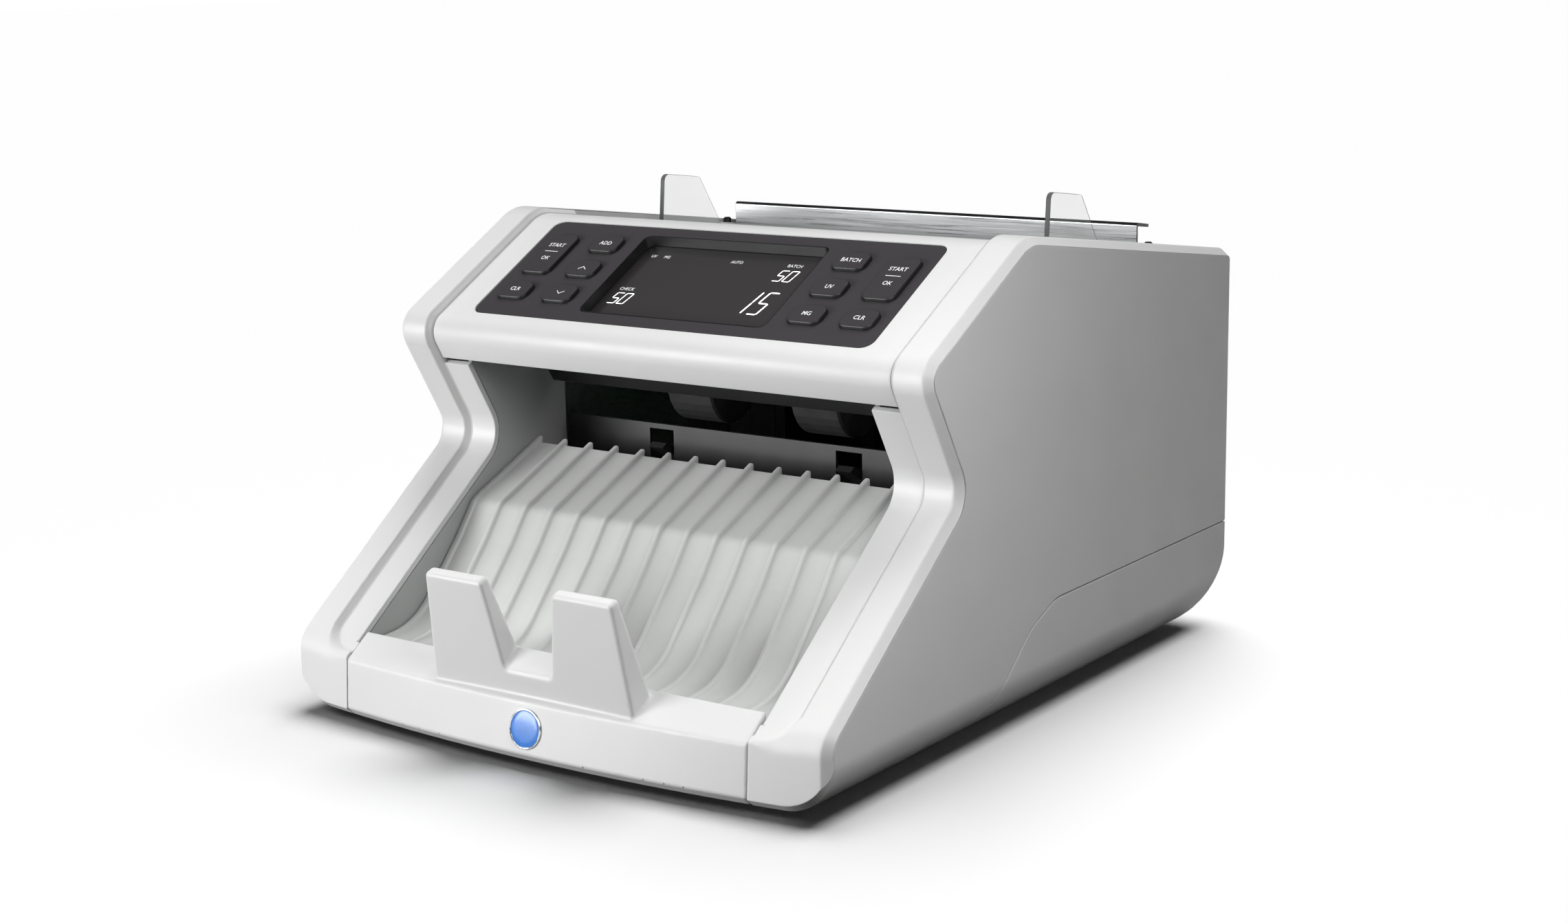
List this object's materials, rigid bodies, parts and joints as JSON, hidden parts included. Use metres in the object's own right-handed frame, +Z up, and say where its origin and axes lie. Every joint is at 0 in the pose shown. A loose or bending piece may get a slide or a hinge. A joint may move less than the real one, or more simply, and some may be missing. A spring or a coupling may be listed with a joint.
{
  "type": "banknote counter",
  "caption": "Table-top banknote counter with a sloped display console, a rear note hopper with sliding guides, and an open front stacker between rounded side covers.",
  "frame": {"origin": "middle of the footprint on the table, at the feet's underside", "axes": "+X to the operator's right, +Y to the rear, +Z up; the operator faces +Y"},
  "size_m": [0.246, 0.307, 0.1878],
  "materials": {
    "white_plastic": "fine satin moulded ABS, cool off-white",
    "grey_plastic": "satin grey moulding",
    "black_plastic": "satin black moulding",
    "panel_black": "fine matt overlay and key caps with pale printed legends",
    "dark_glass": "polished dark window with a black printed border",
    "clear_acrylic": "clear polished acrylic",
    "steel": "brushed",
    "rubber": "matt",
    "badge_blue": "blue enamel disc with a silver rim",
    "circuit_green": "solder mask"
  },
  "bodies": {
    "housing": {"base_shell": "white_plastic", "left_side_cover": "white_plastic", "right_side_cover": "white_plastic", "console_housing": "white_plastic", "rear_cover": "white_plastic", "front_tray": "white_plastic", "badge": "badge_blue", "foot_front_left": "rubber", "foot_front_right": "rubber", "foot_rear_left": "rubber", "foot_rear_right": "rubber", "key_panel": "panel_black", "display_bezel": "black_plastic", "display_lens": "dark_glass", "display_module": "circuit_green", "keypad_board_left": "circuit_green", "keypad_board_right": "circuit_green", "left_stacker_wall": "grey_plastic", "right_stacker_wall": "grey_plastic", "stacker_floor": "grey_plastic", "stacker_back_guide": "black_plastic", "stacker_top_guide": "black_plastic", "hopper_tray": "grey_plastic", "hopper_back_plate": "steel", "left_plate_stud": "black_plastic", "right_plate_stud": "black_plastic", "guide_rail": "steel", "left_frame_plate": "steel", "right_frame_plate": "steel", "retard_shaft": "steel", "drive_motor": "steel", "drive_belt": "rubber", "pickup_belt": "rubber", "main_board": "circuit_green", "power_supply": "circuit_green", "power_inlet": "black_plastic"},
    "key_start_left_body": {"key_start_left": "panel_black"},
    "key_clear_left_body": {"key_clear_left": "panel_black"},
    "key_add_body": {"key_add": "panel_black"},
    "key_up_body": {"key_up": "panel_black"},
    "key_down_body": {"key_down": "panel_black"},
    "key_batch_body": {"key_batch": "panel_black"},
    "key_uv_body": {"key_uv": "panel_black"},
    "key_mg_body": {"key_mg": "panel_black"},
    "key_start_right_body": {"key_start_right": "panel_black"},
    "key_clear_right_body": {"key_clear_right": "panel_black"},
    "left_guide": {"left_note_guide": "clear_acrylic"},
    "right_guide": {"right_note_guide": "clear_acrylic"},
    "feed_roller_set": {"feed_shaft": "steel", "feed_roller_left": "rubber", "feed_roller_right": "rubber"},
    "pickup_roller_set": {"pickup_shaft": "steel", "pickup_roller_left": "rubber", "pickup_roller_right": "rubber"},
    "stacking_wheel_set": {"stacker_shaft": "steel", "stacker_wheel_left": "rubber", "stacker_wheel_right": "rubber"},
    "retard_roller_set": {"retard_roller": "rubber"},
    "motor_pulley_set": {"motor_pulley": "black_plastic"},
    "rocker": {"power_rocker": "black_plastic"}
  },
  "joints": [
    {"name": "key_start_left_press", "type": "slide", "parent": "housing", "child": "key_start_left_body", "axis": [0, 0.4802, -0.8771], "range_m": [0, 0.001], "stiffness_N_per_m": 700, "springref_m": -0.0006},
    {"name": "key_clear_left_press", "type": "slide", "parent": "housing", "child": "key_clear_left_body", "axis": [0, 0.4802, -0.8771], "range_m": [0, 0.001], "stiffness_N_per_m": 700, "springref_m": -0.0006},
    {"name": "key_add_press", "type": "slide", "parent": "housing", "child": "key_add_body", "axis": [0, 0.4802, -0.8771], "range_m": [0, 0.001], "stiffness_N_per_m": 700, "springref_m": -0.0006},
    {"name": "key_up_press", "type": "slide", "parent": "housing", "child": "key_up_body", "axis": [0, 0.4802, -0.8771], "range_m": [0, 0.001], "stiffness_N_per_m": 700, "springref_m": -0.0006},
    {"name": "key_down_press", "type": "slide", "parent": "housing", "child": "key_down_body", "axis": [0, 0.4802, -0.8771], "range_m": [0, 0.001], "stiffness_N_per_m": 700, "springref_m": -0.0006},
    {"name": "key_batch_press", "type": "slide", "parent": "housing", "child": "key_batch_body", "axis": [0, 0.4802, -0.8771], "range_m": [0, 0.001], "stiffness_N_per_m": 700, "springref_m": -0.0006},
    {"name": "key_uv_press", "type": "slide", "parent": "housing", "child": "key_uv_body", "axis": [0, 0.4802, -0.8771], "range_m": [0, 0.001], "stiffness_N_per_m": 700, "springref_m": -0.0006},
    {"name": "key_mg_press", "type": "slide", "parent": "housing", "child": "key_mg_body", "axis": [0, 0.4802, -0.8771], "range_m": [0, 0.001], "stiffness_N_per_m": 700, "springref_m": -0.0006},
    {"name": "key_start_right_press", "type": "slide", "parent": "housing", "child": "key_start_right_body", "axis": [0, 0.4802, -0.8771], "range_m": [0, 0.001], "stiffness_N_per_m": 700, "springref_m": -0.0006},
    {"name": "key_clear_right_press", "type": "slide", "parent": "housing", "child": "key_clear_right_body", "axis": [0, 0.4802, -0.8771], "range_m": [0, 0.001], "stiffness_N_per_m": 700, "springref_m": -0.0006},
    {"name": "left_guide_slide", "type": "slide", "parent": "housing", "child": "left_guide", "axis": [1, 0, 0], "range_m": [0, 0.038]},
    {"name": "right_guide_slide", "type": "slide", "parent": "housing", "child": "right_guide", "axis": [-1, 0, 0], "range_m": [0, 0.038]},
    {"name": "feed_spin", "type": "hinge", "parent": "housing", "child": "feed_roller_set", "pos_m": [0, 0.002, 0.1125], "axis": [1, 0, 0], "continuous": true},
    {"name": "pickup_spin", "type": "hinge", "parent": "housing", "child": "pickup_roller_set", "pos_m": [0, 0.0301, 0.1252], "axis": [1, 0, 0], "continuous": true},
    {"name": "stacker_spin", "type": "hinge", "parent": "housing", "child": "stacking_wheel_set", "pos_m": [0, -0.002, 0.066], "axis": [1, 0, 0], "continuous": true},
    {"name": "retard_spin", "type": "hinge", "parent": "housing", "child": "retard_roller_set", "pos_m": [0, -0.015, 0.1326], "axis": [1, 0, 0], "continuous": true},
    {"name": "motor_spin", "type": "hinge", "parent": "housing", "child": "motor_pulley_set", "pos_m": [0, 0.062, 0.062], "axis": [1, 0, 0], "continuous": true},
    {"name": "power_rocker_tilt", "type": "hinge", "parent": "housing", "child": "rocker", "pos_m": [-0.0483, 0.1464, 0.065], "axis": [1, 0, 0], "range_deg": [-9.5, 0]}
  ],
  "couplings": [
    {"joint": "right_guide_slide", "follows": "left_guide_slide", "ratio": 1},
    {"joint": "pickup_spin", "follows": "feed_spin", "ratio": 1},
    {"joint": "stacker_spin", "follows": "feed_spin", "ratio": 0.75},
    {"joint": "motor_spin", "follows": "feed_spin", "ratio": 1.5}
  ]
}
